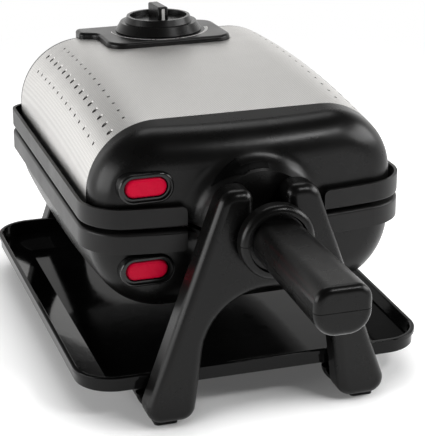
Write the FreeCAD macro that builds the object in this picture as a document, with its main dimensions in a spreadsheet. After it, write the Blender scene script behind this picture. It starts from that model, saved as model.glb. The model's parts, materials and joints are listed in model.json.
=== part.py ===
import FreeCAD, Part
import math
import os
import Sketcher
from types import SimpleNamespace
from FreeCAD import Placement, Rotation, Vector

# A rotating waffle maker: a stand with a drip tray, and a body in two halves that turns over in the stand.
# Millimetres, +Z up, the front (handle) towards -Y.
# The origin is on the table, under the middle of the whole.

DRIVING = {
    # stand
    "axis_height": 137, "stand_front_y": -113, "stand_rear_y": 236, "stand_thick": 20, "stand_edge": 7,
    "stand_back_edge": 1.8, "head_rise": 34.5, "head_half": 34, "head_round": 13, "prong_round": 8.4,
    "rear_head_rise": 18, "rear_head_half": 40, "rear_head_round": 17, "leg_outer": 94, "leg_inner": 55,
    "foot_round": 11, "arch_half": 43, "arch_top": 97, "arch_round": 48, "pad_thick": 3,
    "pad_margin": 11, "pad_round": 3, "hook_reach": 20, "hook_thick": 9, "hook_height": 11,
    "hook_floor": 5, "hook_notch": 4, "hook_round": 5, "rail_inner": 62, "rail_outer": 86,
    "rail_edge": 2.5,
    # drip tray
    "tray_half": 132, "tray_front": -101.7, "tray_back": 224, "tray_round": 30, "tray_wall": 1.8,
    "tray_depth": 20, "tray_side": 11, "tray_slope": 24, "tray_lip": 1.6, "tray_lip_height": 3,
    "tray_edge": 0.8,
    # rims of the two halves
    "rim_half": 120.5, "rim_front": -83, "rim_back": 182, "rim_front_round": 34, "rim_back_round": 14,
    "bow_depth": 18.5, "bow_radius": 560, "band_height": 15, "band_gap": 3, "band_wall": 2.4,
    "rim_floor": 2.4, "band_bevel": 2, "band_end_round": 4, "gutter": 5, "front_gutter": 4,
    "back_gutter": 3.6, "hub_window": 51, "hub_window_back": -72, "hub_foot_gap": 0.4,
    # crowned shells
    "shell_wall": 2.5, "sheet": 1, "sheet_fit": 0.12, "shoulder": 51, "rise_front": 62.5,
    "rise_mid": 75.5, "rise_back": 71, "front_section": -95, "mid_section": 65, "front_edge_round": 26,
    "back_edge_round": 7, "seam_y": -51, "cover_back": 168, "tongue": 7, "seam_gap": 0.2,
    # hub of the front caps
    "hub_front": -101, "hub_front_radius": 40, "hub_back_radius": 61, "hub_back": -56, "hub_blend": 14,
    "hub_hole_fit": 0.2,
    # perforations of the steel cover
    "hole_pitch": 13.9, "hole_first": -42, "slot_x": 92.5, "slot_reach": 4.4, "slot_width": 3.4,
    "dot_inner_x": 80.4, "dot_outer_x": 102.5, "dot_radius": 1.25, "collar_hole_fit": 1,
    # handle
    "journal_radius": 12, "journal_fit": 0.08, "root_radius": 20, "root_thick": 4, "flange_radius": 27,
    "flange_thick": 12, "flange_gap": 4, "flange_round": 4.5, "flange_dish": 21.5, "dish_depth": 3,
    "grip_length": 118, "grip_width": 39, "grip_height": 34, "grip_root_width": 36,
    "grip_root_height": 32, "grip_round": 11, "grip_under_round": 15.8, "grip_end_round": 5,
    "grip_wall": 3, "handle_split": 0.4,
    # waffle plates
    "plate_half": 102, "plate_front": -66, "plate_back": 160, "plate_round": 8, "plate_thick": 16,
    "plate_gap": 0.4, "cavity_inner": 4, "cavity_margin": 10, "cavity_depth": 11, "cavity_round": 5,
    "stud_size": 16, "stud_height": 8, "stud_pitch": 22, "stud_draft": 12, "stud_first_x": 17,
    "stud_first_y": -41, "lug_half": 5, "lug_depth": 5, "lug_rise": 14, "lug_front": -62,
    "lug_notch": 1.5, "tongue_inner": 60, "tongue_outer": 76, "tongue_reach": 4.5, "tongue_low": 6,
    "tongue_high": 10,
    # reflector pans and heaters
    "plate_fit": 0.6, "pan_sheet": 0.8, "pan_step": 17, "pan_roof": 32, "pan_top_half": 96,
    "pan_top_round": 20, "pan_flange_half": 108, "pan_flange_front": -74, "pan_flange_back": 168,
    "pan_flange_round": 24, "heater_radius": 3.25, "heater_gap": 0.3, "heater_half": 85,
    "heater_front": -38, "heater_turn": 125, "heater_exit": 40, "heater_end": 172, "heater_bend": 18,
    "heater_hole_fit": 0.5, "clip_half": 6, "clip_depth": 10, "clip_gap": 0.1, "clip_front": 0,
    "clip_back": 90,
    # release buttons
    "button_x": -78.5, "button_rise": 30.7, "button_width": 30.5, "button_height": 14,
    "button_front": -85.8, "button_back": -76.5, "button_fit": 0.5, "button_edge": 2.5,
    "bezel_width": 39.5, "bezel_height": 22, "bezel_front": -87.3, "bezel_back": -74.6,
    "bezel_fit": 0.15, "bezel_dish": 2, "bezel_dish_depth": 2.2, "bezel_edge": 1.4, "latch_half": 11,
    "latch_thick": 2, "latch_rise": 24.3, "latch_end": -48, "latch_grip": 0.3, "window_half": 6.5,
    "window_front": -66, "latch_slot": 0.8, "latch_slot_back": -45, "spring_radius": 3,
    "spring_bore": 2, "spring_rise": 29.9, "spring_front": -73,
    # lid hinge
    "hinge_y": 196, "hinge_rise": 14, "hinge_radius": 3, "hinge_fit": 0.06, "hinge_seat_fit": 0.03,
    "ear_radius": 8, "ear_middle": 76, "ear_half": 5.5, "ear_side": 8, "ear_gap": 0.5, "pin_reach": 0.5,
    # rear carrier, trunnion, bush and gland
    "carrier_half": 34, "carrier_front": 184, "carrier_back": 191, "carrier_low": 50,
    "carrier_block": 20, "carrier_head": 15, "carrier_shoulder": 14, "carrier_round": 5,
    "tube_radius": 10, "tube_bore": 7, "tube_fit": 0.05, "tube_end_gap": 1, "bush_radius": 12.5,
    "bush_fit": 0.06, "bush_flange": 16, "bush_flange_thick": 2, "screw_x": 24, "screw_low": 43,
    "screw_high": 27, "screw_radius": 2, "screw_head": 4, "screw_head_thick": 2.5, "screw_length": 17.5,
    "screw_fit": 0.1, "gland_flange": 16, "gland_flange_thick": 3, "gland_nozzle": 8,
    "gland_length": 11, "gland_bore": 3.6,
    # control panel, dial and thermostat, about the dial's own axis
    "dial_y": 154, "panel_top": 214.5, "dial_tilt": 2.5, "panel_half": 51, "panel_front_reach": 42,
    "panel_back_reach": 27, "panel_round": 14, "panel_depth": 18, "panel_edge": 2.5, "panel_fit": 0.15,
    "wing_half": 64, "wing_start": 2, "wing_flare": 7, "wing_notch": 8, "wing_round": 4.6,
    "collar_radius": 5.5, "collar_fit": 0.3, "collar_top": 1, "knob_gap": 0.8, "skirt_low": 35,
    "skirt_high": 31, "skirt_height": 6.5, "ring_low": 27.4, "ring_high": 25.6, "ring_top": 12,
    "ring_wall": 2.4, "dish_floor": 8, "knob_under": 5, "boss_radius": 8, "bar_half": 4.3,
    "bar_reach": 13, "bar_top": 20.5, "bar_edge": 1.5, "bar_angle": 3, "spindle_radius": 3,
    "spindle_fit": 0.05, "spindle_low": 25, "spindle_top": 7.7, "thermostat_radius": 17,
    "thermostat_top": 12, "thermostat_low": 31, "thermostat_bore": 26, "bracket_half": 14,
    "bracket_reach": 12, "bracket_drop": 60,
}

doc = FreeCAD.newDocument("waffle_maker")
sheet = doc.addObject("Spreadsheet::Sheet", "Sizes")
for row, (alias, number) in enumerate(DRIVING.items(), 1):
    sheet.set(f"A{row}", alias)
    sheet.set(f"B{row}", str(number))
    sheet.setAlias(f"B{row}", alias)
doc.recompute()


class Size:
    """A number together with the sheet formula that it comes from."""

    def __init__(self, number, formula):
        self.number = number
        self.formula = formula

    def join(self, sign, other, number):
        return Size(number, f"({self.formula} {sign} {other.formula})")

    def __add__(self, other):
        other = size(other)
        return self.join("+", other, self.number + other.number)

    def __sub__(self, other):
        other = size(other)
        return self.join("-", other, self.number - other.number)

    def __mul__(self, other):
        other = size(other)
        return self.join("*", other, self.number * other.number)

    def __truediv__(self, other):
        other = size(other)
        return self.join("/", other, self.number / other.number)

    def __radd__(self, other):
        return size(other) + self

    def __rsub__(self, other):
        return size(other) - self

    def __rmul__(self, other):
        return size(other) * self

    def __neg__(self):
        return size(0) - self


def size(value):
    return value if isinstance(value, Size) else Size(float(value), f"({value:g})")


d = SimpleNamespace(**{name: Size(float(sheet.get(name)), f"Sizes.{name}") for name in DRIVING})
nodes = []

PLANES = {"XY": "XY_Plane", "XZ": "XZ_Plane", "YZ": "YZ_Plane"}


def bind(item, path, value):
    item.setExpression(path, size(value).formula)


def keep(item, label):
    """Marks an object as one finished piece."""
    item.Label = label
    nodes.append(item)
    return item


def new_body(name, base=(0, 0, 0), turn=None):
    body = doc.addObject("PartDesign::Body", name)
    body.Placement = Placement(Vector(), turn or Rotation())
    for letter, value in zip("xyz", base):
        bind(body, f"Placement.Base.{letter}", value)
    return body


def origin_plane(body, plane):
    return next(item for item in body.Origin.OriginFeatures if item.Role == PLANES[plane])


def new_sketch(body, plane, place):
    sketch = body.newObject("Sketcher::SketchObject", f"{body.Name}_outline")
    sketch.AttachmentSupport = (origin_plane(body, plane), [""])
    sketch.MapMode = "FlatFace"
    bind(sketch, "AttachmentOffset.Base.z", -size(place) if plane == "XZ" else place)
    return sketch


def corner_arc(before, spot, after, radius):
    """Entry point, exit point and counter-clockwise arc of a rounded corner."""
    back = (before - spot).normalize()
    ahead = (after - spot).normalize()
    half = math.acos(max(-1.0, min(1.0, back.dot(ahead)))) / 2
    entry = spot + back * (radius / math.tan(half))
    leave = spot + ahead * (radius / math.tan(half))
    centre = spot + (back + ahead).normalize() * (radius / math.sin(half))
    start = math.atan2(entry.y - centre.y, entry.x - centre.x)
    sweep = (math.atan2(leave.y - centre.y, leave.x - centre.x) - start) % (2 * math.pi)
    if sweep > math.pi:
        start, sweep = start + sweep, 2 * math.pi - sweep
    return entry, leave, Part.ArcOfCircle(Part.Circle(centre, Vector(0, 0, 1), radius), start, start + sweep)


def draw(sketch, corners, closed=True):
    """Lines through the corners (across, up and perhaps a radius), tied to the sheet."""
    corners = [tuple(size(value) for value in corner) for corner in corners]
    spots = [Vector(corner[0].number, corner[1].number, 0) for corner in corners]
    count = len(corners)
    entries, leaves, arcs = list(spots), list(spots), [None] * count
    for i, corner in enumerate(corners):
        if len(corner) > 2:
            entries[i], leaves[i], arcs[i] = corner_arc(
                spots[i - 1], spots[i], spots[(i + 1) % count], corner[2].number)
    first_line = sketch.GeometryCount
    runs = count if closed else count - 1
    for i in range(runs):
        sketch.addGeometry(Part.LineSegment(leaves[i], entries[(i + 1) % count]), False)
    rules, formulas = [], {}

    def place_point(item, which, corner):
        formulas[len(rules)] = corner[0].formula
        rules.append(Sketcher.Constraint("DistanceX", -1, 1, item, which, corner[0].number))
        formulas[len(rules)] = corner[1].formula
        rules.append(Sketcher.Constraint("DistanceY", -1, 1, item, which, corner[1].number))

    for i, corner in enumerate(corners):
        line_in, line_out = first_line + (i - 1) % count, first_line + i
        if arcs[i] is None:
            if closed or 0 < i < count - 1:
                rules.append(Sketcher.Constraint("Coincident", line_in, 2, line_out, 1))
            if not closed and i == count - 1:
                place_point(line_in, 2, corner)
            else:
                place_point(line_out, 1, corner)
            continue
        arc = sketch.addGeometry(arcs[i], False)
        starts_at_entry = (sketch.Geometry[arc].StartPoint - entries[i]).Length < 1e-6
        first, last = (1, 2) if starts_at_entry else (2, 1)
        point = sketch.addGeometry(Part.Point(spots[i]), True)
        place_point(point, 1, corner)
        rules.append(Sketcher.Constraint("PointOnObject", point, 1, line_in))
        rules.append(Sketcher.Constraint("PointOnObject", point, 1, line_out))
        rules.append(Sketcher.Constraint("Tangent", line_in, 2, arc, first))
        rules.append(Sketcher.Constraint("Tangent", line_out, 1, arc, last))
        formulas[len(rules)] = corner[2].formula
        rules.append(Sketcher.Constraint("Radius", arc, corner[2].number))
    first_rule = sketch.ConstraintCount
    sketch.addConstraint(rules)
    for index, formula in formulas.items():
        sketch.setExpression(f"Constraints[{first_rule + index}]", formula)
    return sketch


def draw_circle(sketch, across, up, radius):
    across, up, radius = size(across), size(up), size(radius)
    circle = sketch.addGeometry(
        Part.Circle(Vector(across.number, up.number, 0), Vector(0, 0, 1), radius.number), False)
    rules = [("DistanceX", (-1, 1, circle, 3), across), ("DistanceY", (-1, 1, circle, 3), up),
             ("Radius", (circle,), radius)]
    for kind, where, value in rules:
        index = sketch.addConstraint(Sketcher.Constraint(kind, *where, value.number))
        sketch.setExpression(f"Constraints[{index}]", value.formula)
    return sketch


def extrude(body, kind, plane, low, high, shape):
    """A Pad or Pocket between two places along the plane's axis; shape draws the sketch."""
    start = high if (plane == "XZ") == (kind == "Pad") else low
    sketch = shape(new_sketch(body, plane, start))
    feature = body.newObject(f"PartDesign::{kind}", f"{body.Name}_{kind.lower()}")
    feature.Profile = sketch
    bind(feature, "Length", size(high) - low)
    return feature


def polygon(corners):
    return lambda sketch: draw(sketch, corners)


def circle(across, up, radius):
    return lambda sketch: draw_circle(sketch, across, up, radius)


def rectangle(left, right, low, high, radius=None):
    """Corners of a rectangle, counter-clockwise from its lower left."""
    spots = [(left, low), (right, low), (right, high), (left, high)]
    return spots if radius is None else [spot + (radius,) for spot in spots]


def centred(across, up, width, height, radius):
    half_width, half_height = size(width) / 2, size(height) / 2
    return rectangle(across - half_width, across + half_width, up - half_height, up + half_height, radius)


def mirrored(corners):
    """The corners with those of the left side added, as a loop about X = 0."""
    return corners + [(-size(corner[0]),) + tuple(corner[1:]) for corner in reversed(corners)]


def turned(body, kind, plane, corners):
    """A Revolution or Groove about the axis that the plane's first letter names."""
    sketch = draw(new_sketch(body, plane, 0), corners)
    feature = body.newObject(f"PartDesign::{kind}", f"{body.Name}_{kind.lower()}")
    feature.Profile = sketch
    feature.ReferenceAxis = (sketch, ["H_Axis" if plane == "YZ" else "V_Axis"])
    feature.Angle = 360
    return feature


def pattern(body, feature, counts, pitch):
    """Repeats a feature along its sketch's two axes."""
    sketch = feature.Profile[0]
    repeat = body.newObject("PartDesign::LinearPattern", f"{body.Name}_pattern")
    repeat.Originals = [feature]
    repeat.Direction = (sketch, ["H_Axis"])
    repeat.Occurrences = counts[0]
    bind(repeat, "Length", pitch * max(1, counts[0] - 1))
    repeat.Direction2 = (sketch, ["V_Axis"])
    repeat.Occurrences2 = counts[1]
    bind(repeat, "Length2", pitch * max(1, counts[1] - 1))
    body.Tip = repeat
    return repeat


def loft(body, kind, plane, sections):
    sketches = [draw(new_sketch(body, plane, place), corners) for place, corners in sections]
    feature = body.newObject(f"PartDesign::{kind}", f"{body.Name}_{kind.lower()}")
    feature.Profile = sketches[0]
    feature.Sections = sketches[1:]
    return feature


def soften(body, radius, wanted):
    """Rounds the edges of the body that the test picks."""
    doc.recompute()
    base = body.Tip
    names = [f"Edge{i}" for i, edge in enumerate(base.Shape.Edges, 1) if wanted(edge)]
    if not names:
        raise ValueError(f"no edge to round on {body.Name}")
    feature = body.newObject("PartDesign::Fillet", f"{body.Name}_round")
    feature.Base = (base, names)
    bind(feature, "Radius", radius)
    doc.recompute()
    return feature


def near(value, target, slack=0.01):
    return abs(value - size(target).number) < slack


def flat_at(edge, axis, place):
    """True for an edge that lies wholly in the plane axis = place."""
    box = edge.BoundBox
    low = getattr(box, f"{axis}Min")
    high = getattr(box, f"{axis}Max")
    return near(low, place) and near(high, place)


def block(name, low, high):
    box = doc.addObject("Part::Box", name)
    for path, first, last in zip(("Length", "Width", "Height"), low, high):
        bind(box, path, size(last) - first)
    for letter, value in zip("xyz", low):
        bind(box, f"Placement.Base.{letter}", value)
    return box


def rod(name, radius, length, base, direction):
    item = doc.addObject("Part::Cylinder", name)
    item.Placement = Placement(Vector(), Rotation(Vector(0, 0, 1), Vector(*direction)))
    bind(item, "Radius", radius)
    bind(item, "Height", length)
    for letter, value in zip("xyz", base):
        bind(item, f"Placement.Base.{letter}", value)
    return item


def boolean(kind, name, base, tool):
    item = doc.addObject(f"Part::{kind}", name)
    item.Base = base
    item.Tool = tool
    return item


def fuse(name, first, second):
    item = doc.addObject("Part::MultiFuse", name)
    item.Shapes = [first, second]
    return item


def group(name, items):
    item = doc.addObject("Part::Compound", name)
    item.Links = items
    return item


axis = d.axis_height
parting = d.band_gap / 2
band_top = parting + d.band_height
seat = parting + d.rim_floor
bow_slope = d.bow_depth / d.rim_half
rim_apex = d.rim_front - d.bow_depth
shell_half = d.rim_half - d.band_wall - d.gutter
shell_back = d.rim_back - d.band_wall - d.back_gutter
shell_apex = rim_apex + d.band_wall + d.front_gutter
plate_face = d.plate_gap / 2
plate_rear = plate_face + d.plate_thick
stand_front = d.stand_front_y - d.stand_thick / 2
stand_back = d.stand_rear_y + d.stand_thick / 2
rail_top = d.pad_thick + d.hook_height
lug_back = d.lug_front + d.lug_depth
FAR = 200


def local(side, low, high):
    """A span of heights away from the parting plane, for the upper (1) or lower (-1) half."""
    return (low, high) if side > 0 else (-size(high), -size(low))


def ordered(first, second):
    return sorted((size(first), size(second)), key=lambda item: item.number)


# Stand

def leg_outline(head):
    right = [(d.leg_inner, d.pad_thick, d.foot_round), (d.leg_outer, d.pad_thick, d.foot_round)] + head
    arch_right = (d.arch_half, d.arch_top, d.arch_round)
    return mirrored(right) + [(-d.arch_half, d.arch_top, d.arch_round), arch_right]


def stand(name, outer, inward, head):
    """One of the two stands; inward is the direction in Y that its feet hook to."""
    body = new_body(name)
    inner, toe = outer + d.stand_thick * inward, outer + (d.stand_thick + d.hook_reach) * inward
    extrude(body, "Pad", "XZ", *ordered(outer, toe), polygon(leg_outline(head)))
    lip = toe - d.hook_thick * inward
    floor = d.pad_thick + d.hook_floor
    beyond = toe + inward
    extrude(body, "Pocket", "YZ", -FAR, FAR, polygon([
        (inner, 2 * FAR), (inner, floor, d.hook_notch), (lip, floor, d.hook_notch), (lip, rail_top),
        (beyond, rail_top), (beyond, 2 * FAR)]))
    soften(body, d.stand_edge, lambda edge: flat_at(edge, "Y", outer) and not at_slot_foot(edge))
    soften(body, d.stand_back_edge, lambda edge: flat_at(edge, "Y", inner)
           and edge.BoundBox.ZMax > rail_top.number and not at_slot_foot(edge))
    soften(body, d.hook_round, lambda edge: flat_at(edge, "Y", toe) and flat_at(edge, "Z", d.pad_thick))
    return body, outer - inward, inner + inward


def at_slot_foot(edge):
    return flat_at(edge, "Z", axis)


slot = d.journal_radius + d.journal_fit
prong_top = axis + d.head_rise
fork = [(d.head_half, prong_top, d.head_round), (slot, prong_top, d.prong_round), (slot, axis)]
front_stand, before, behind = stand("front_stand", stand_front, 1, fork)
extrude(front_stand, "Pocket", "XZ", *ordered(before, behind), circle(0, axis, slot))
keep(front_stand, "front_stand")

rear_head = [(d.rear_head_half, axis + d.rear_head_rise, d.rear_head_round)]
rear_stand, before, behind = stand("rear_stand", stand_back, -1, rear_head)
extrude(rear_stand, "Pocket", "XZ", *ordered(before, behind), circle(0, axis, d.bush_radius + d.tube_fit))
keep(rear_stand, "rear_stand")

front_toe = stand_front + d.stand_thick + d.hook_reach
rear_toe = stand_back - d.stand_thick - d.hook_reach
for side, name in ((-1, "base_rail_left"), (1, "base_rail_right")):
    rail = new_body(name)
    first, last = ordered(d.rail_inner * side, d.rail_outer * side)
    extrude(rail, "Pad", "XZ", front_toe, rear_toe,
            polygon(rectangle(first, last, d.pad_thick, rail_top, d.rail_edge)))
    keep(rail, name)

pads = []
for outer, toe in ((stand_front + d.stand_edge, front_toe - d.hook_round),
                   (rear_toe + d.hook_round, stand_back - d.stand_edge)):
    for side in (-1, 1):
        left, right = ordered((d.leg_inner + d.pad_margin) * side, (d.leg_outer - d.pad_margin) * side)
        pad = new_body("foot_pad")
        extrude(pad, "Pad", "XY", 0, d.pad_thick, polygon(rectangle(left, right, outer, toe, d.pad_round)))
        pads.append(pad)
keep(group("foot_pads", pads), "foot_pads")

bush = new_body("rear_bush", (0, 0, axis))
bush_front = d.stand_rear_y - d.stand_thick / 2
bush_lip = bush_front - d.bush_flange_thick
bush_bore = d.tube_radius + d.bush_fit
turned(bush, "Revolution", "YZ", [
    (bush_lip, bush_bore), (stand_back, bush_bore), (stand_back, d.bush_radius), (bush_front, d.bush_radius),
    (bush_front, d.bush_flange), (bush_lip, d.bush_flange)])
keep(bush, "rear_bush")

gland = new_body("cord_gland", (0, 0, axis))
gland_end = stand_back + d.gland_length
gland_step = stand_back + d.gland_flange_thick
turned(gland, "Revolution", "YZ", [
    (stand_back, d.gland_bore), (gland_end, d.gland_bore), (gland_end, d.gland_nozzle, d.gland_nozzle / 4),
    (gland_step, d.gland_nozzle), (gland_step, d.gland_flange, d.gland_flange_thick / 2),
    (stand_back, d.gland_flange)])
keep(gland, "cord_gland")


# Drip tray

def tray_section(inset):
    radius = d.tray_round - inset
    half = d.tray_half - inset
    return rectangle(-half, half, d.tray_front + inset, d.tray_back - inset, radius)


tray = new_body("drip_tray")
tray_top = rail_top + d.tray_depth
tray_bend = tray_top - d.tray_side
tray_inner = d.tray_lip + d.tray_wall
loft(tray, "AdditiveLoft", "XY", [
    (rail_top, tray_section(d.tray_lip + d.tray_slope)), (tray_bend, tray_section(d.tray_lip))]).Ruled = True
extrude(tray, "Pad", "XY", tray_bend, tray_top, polygon(tray_section(d.tray_lip)))
extrude(tray, "Pad", "XY", tray_top - d.tray_lip_height, tray_top, polygon(tray_section(0)))
loft(tray, "SubtractiveLoft", "XY", [
    (rail_top + d.tray_wall, tray_section(tray_inner + d.tray_slope)),
    (tray_bend, tray_section(tray_inner))]).Ruled = True
extrude(tray, "Pocket", "XY", tray_bend, tray_top, polygon(tray_section(tray_inner)))
soften(tray, d.tray_edge, lambda edge: flat_at(edge, "Z", tray_top))
keep(tray, "drip_tray")


# Crowned shells of the two halves

def bowed(half, apex, back, front_round, back_round):
    """A rectangle whose front bows out to an apex."""
    corner_y = apex + half * bow_slope
    return [(half, corner_y, front_round), (half, back, back_round), (-half, back, back_round),
            (-half, corner_y, front_round), (0, apex, d.bow_radius)]


def arch(side, rise, inset, low):
    half = shell_half - inset
    top = (rise - inset) * side
    radius = d.shoulder - inset
    return [(-half, low * side), (half, low * side), (half, top, radius), (-half, top, radius)]


def upright(edge):
    return edge.BoundBox.XLength < 0.01 and edge.BoundBox.YLength < 0.01


def loaf(name, side, inset, low):
    """The crowned block of one half, drawn in by an inset."""
    body = new_body(name, (0, 0, axis))
    inset = size(inset)
    back = shell_back - inset
    loft(body, "AdditiveLoft", "XZ", [
        (d.front_section, arch(side, d.rise_front, inset, low)),
        (d.mid_section, arch(side, d.rise_mid, inset, low)),
        (back, arch(side, d.rise_back, inset, low))])
    apex = shell_apex + inset
    edge_y = apex + bow_slope * FAR
    extrude(body, "Pocket", "XY", -FAR, FAR, polygon([
        (-FAR, -2 * FAR), (FAR, -2 * FAR), (FAR, edge_y), (0, apex, d.bow_radius), (-FAR, edge_y)]))
    level = low * side
    flank = (shell_half - inset).number - 1

    def front_edge(edge):
        smooth = upright(edge) and abs(edge.BoundBox.XMax) < flank
        return edge.BoundBox.YMax < edge_y.number and not smooth and not flat_at(edge, "Z", level)

    soften(body, d.front_edge_round - inset, front_edge)
    soften(body, d.back_edge_round - inset, lambda edge: flat_at(edge, "Y", back)
           and not flat_at(edge, "Z", level))
    return body


def hub(name, side, inset, low):
    """The cone round the handle's root, drawn in by an inset and cut off towards the parting plane."""
    body = new_body(name, (0, 0, axis))
    inset = size(inset)
    front = d.hub_front + inset
    flare = (d.hub_back_radius - d.hub_front_radius) / (d.hub_back - d.hub_front)
    narrow = d.hub_front_radius + (flare - 1) * inset
    wide = narrow + flare * (d.hub_back - front)
    turned(body, "Revolution", "YZ", [(front, 0), (d.hub_back, 0), (d.hub_back, wide), (front, narrow)])
    extrude(body, "Pocket", "XY", *local(side, -FAR, low), polygon(rectangle(-FAR, FAR, -FAR, FAR)))
    return body


def footed_hub(name, side):
    """The outer hub, with a foot that stands in the rim's window."""
    body = hub(name, side, 0, parting)
    half = d.hub_window - d.hub_foot_gap
    behind = d.hub_window_back - d.hub_foot_gap
    extrude(body, "Pocket", "XY", *local(side, parting - 1, seat), polygon([
        (-FAR, -FAR), (-half, -FAR), (-half, behind), (half, behind), (half, -FAR), (FAR, -FAR),
        (FAR, d.hub_back + 1), (-FAR, d.hub_back + 1)]))
    return body


def blended(name, cap, outer_hub):
    """A cap and its hub in one, with a soft blend between them."""
    body = adopt(name, fuse(f"{name}_rough", cap, outer_hub))
    cones = [face for face in body.Tip.Shape.Faces if face.Surface.TypeId == "Part::GeomCone"]
    around = [edge for face in cones for edge in face.Edges]

    def seam(edge):
        box = edge.BoundBox
        inside = box.YMin > d.hub_front.number + 0.5 and box.YMax < d.hub_back.number - 0.1
        return inside and box.ZLength > 0.01 and any(edge.isSame(other) for other in around)

    soften(body, d.hub_blend, seam)
    return body


def slab(name, first_y, last_y):
    """A block that holds everything between two places along Y."""
    return block(name, (-FAR, first_y, 0), (FAR, last_y, 2 * FAR))


def adopt(name, shape):
    """A body that goes on from a shape built before."""
    body = doc.addObject("PartDesign::Body", name)
    body.BaseFeature = shape
    doc.recompute()
    return body


def stadium(across, up, width, height):
    return centred(across, up, width, height, size(height) * 0.49)


def open_front(body, side):
    """Holes of a front cap: round the journal and for the bezel."""
    extrude(body, "Pocket", "XZ", d.hub_front - 1, d.hub_front + d.shell_wall * 2,
            circle(0, axis, d.journal_radius + d.hub_hole_fit))
    width, height = d.bezel_width + d.bezel_fit * 2, d.bezel_height + d.bezel_fit * 2
    extrude(body, "Pocket", "XZ", shell_apex, d.bezel_back, polygon(
        stadium(d.button_x, axis + d.button_rise * side, width, height)))


below = seat - 5
upper_outer = loaf("upper_outer", 1, 0, seat)
upper_inner = loaf("upper_inner", 1, d.shell_wall, below)
under_sheet = loaf("under_sheet", 1, d.sheet + d.sheet_fit, seat)
sheet_core = loaf("sheet_core", 1, d.sheet, below)
panel_core = loaf("panel_core", 1, -d.panel_fit, below)

overlap = d.tongue / 2
tongue_shell = boolean("Cut", "tongue_shell", under_sheet, upper_inner)
front_blank = boolean("Common", "front_blank", upper_outer, slab("front_slab", -2 * FAR, d.seam_y))
front_block = blended("front_block", front_blank, footed_hub("upper_hub", 1))
front_hollow = fuse("front_hollow", upper_inner, hub("upper_hub_inside", 1, d.shell_wall, below))
front_part = boolean("Cut", "front_part", front_block, front_hollow)
front_tongue = boolean("Common", "front_tongue", tongue_shell,
                       slab("front_tongue_slab", d.seam_y - overlap, d.seam_y + d.tongue))
upper_front_cap = adopt("upper_front_cap", fuse("front_whole", front_part, front_tongue))
open_front(upper_front_cap, 1)
keep(upper_front_cap, "upper_front_cap")

back_blank = boolean("Cut", "back_blank", upper_outer, upper_inner)
back_part = boolean("Common", "back_part", back_blank, slab("back_slab", d.cover_back, 2 * FAR))
back_tongue = boolean("Common", "back_tongue", tongue_shell,
                      slab("back_tongue_slab", d.cover_back - d.tongue, d.cover_back + overlap))
keep(fuse("upper_rear_cap", back_part, back_tongue), "upper_rear_cap")

sheet_shell = boolean("Cut", "sheet_shell", upper_outer, sheet_core)
sheet_part = boolean("Common", "sheet_part", sheet_shell,
                     slab("sheet_slab", d.seam_y + d.seam_gap, d.cover_back - d.seam_gap))
steel_cover = adopt("steel_cover", sheet_part)
hole_low, hole_high = axis + d.rise_front - d.shoulder, axis + d.rise_mid + 1


def perforate(count, first_y, draw_side):
    """A row of openings along each shoulder of the cover."""
    def both_sides(sketch):
        draw_side(sketch, 1, first_y)
        return draw_side(sketch, -1, first_y)

    first = extrude(steel_cover, "Pocket", "XY", hole_low, hole_high, both_sides)
    pattern(steel_cover, first, (1, count), d.hole_pitch)


perforate(15, d.hole_first, lambda sketch, side, y: draw(
    sketch, centred(d.slot_x * side, y, d.slot_reach, d.slot_width, d.slot_width * 0.45)))
for dot_x in (d.dot_inner_x, d.dot_outer_x):
    perforate(14, d.hole_first + d.hole_pitch / 2,
              lambda sketch, side, y: draw_circle(sketch, dot_x * side, y, d.dot_radius))
extrude(steel_cover, "Pocket", "XY", hole_low, hole_high,
        circle(0, d.dial_y, d.collar_radius + d.collar_hole_fit))
keep(steel_cover, "steel_cover")

lower_outer = loaf("lower_outer", -1, 0, seat)
lower_block = blended("lower_block", lower_outer, footed_hub("lower_hub", -1))
lower_inner = loaf("lower_inner", -1, d.shell_wall, below)
lower_hollow = fuse("lower_hollow", lower_inner, hub("lower_hub_inside", -1, d.shell_wall, below))
lower_housing = adopt("lower_housing", boolean("Cut", "lower_shell", lower_block, lower_hollow))
open_front(lower_housing, -1)
SCREW_SPOTS = [(x, -z) for x in (d.screw_x, -d.screw_x) for z in (d.screw_low, d.screw_high)]


def screw_holes(body, first_y, last_y, middle_z):
    def spots(sketch):
        for x, z in SCREW_SPOTS:
            draw_circle(sketch, x, middle_z + z, d.screw_radius + d.screw_fit)
        return sketch

    extrude(body, "Pocket", "XZ", first_y, last_y, spots)


screw_holes(lower_housing, shell_back - d.shell_wall * 2, shell_back + 1, axis)
keep(lower_housing, "lower_housing")


# Rims with the lid hinge

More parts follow.
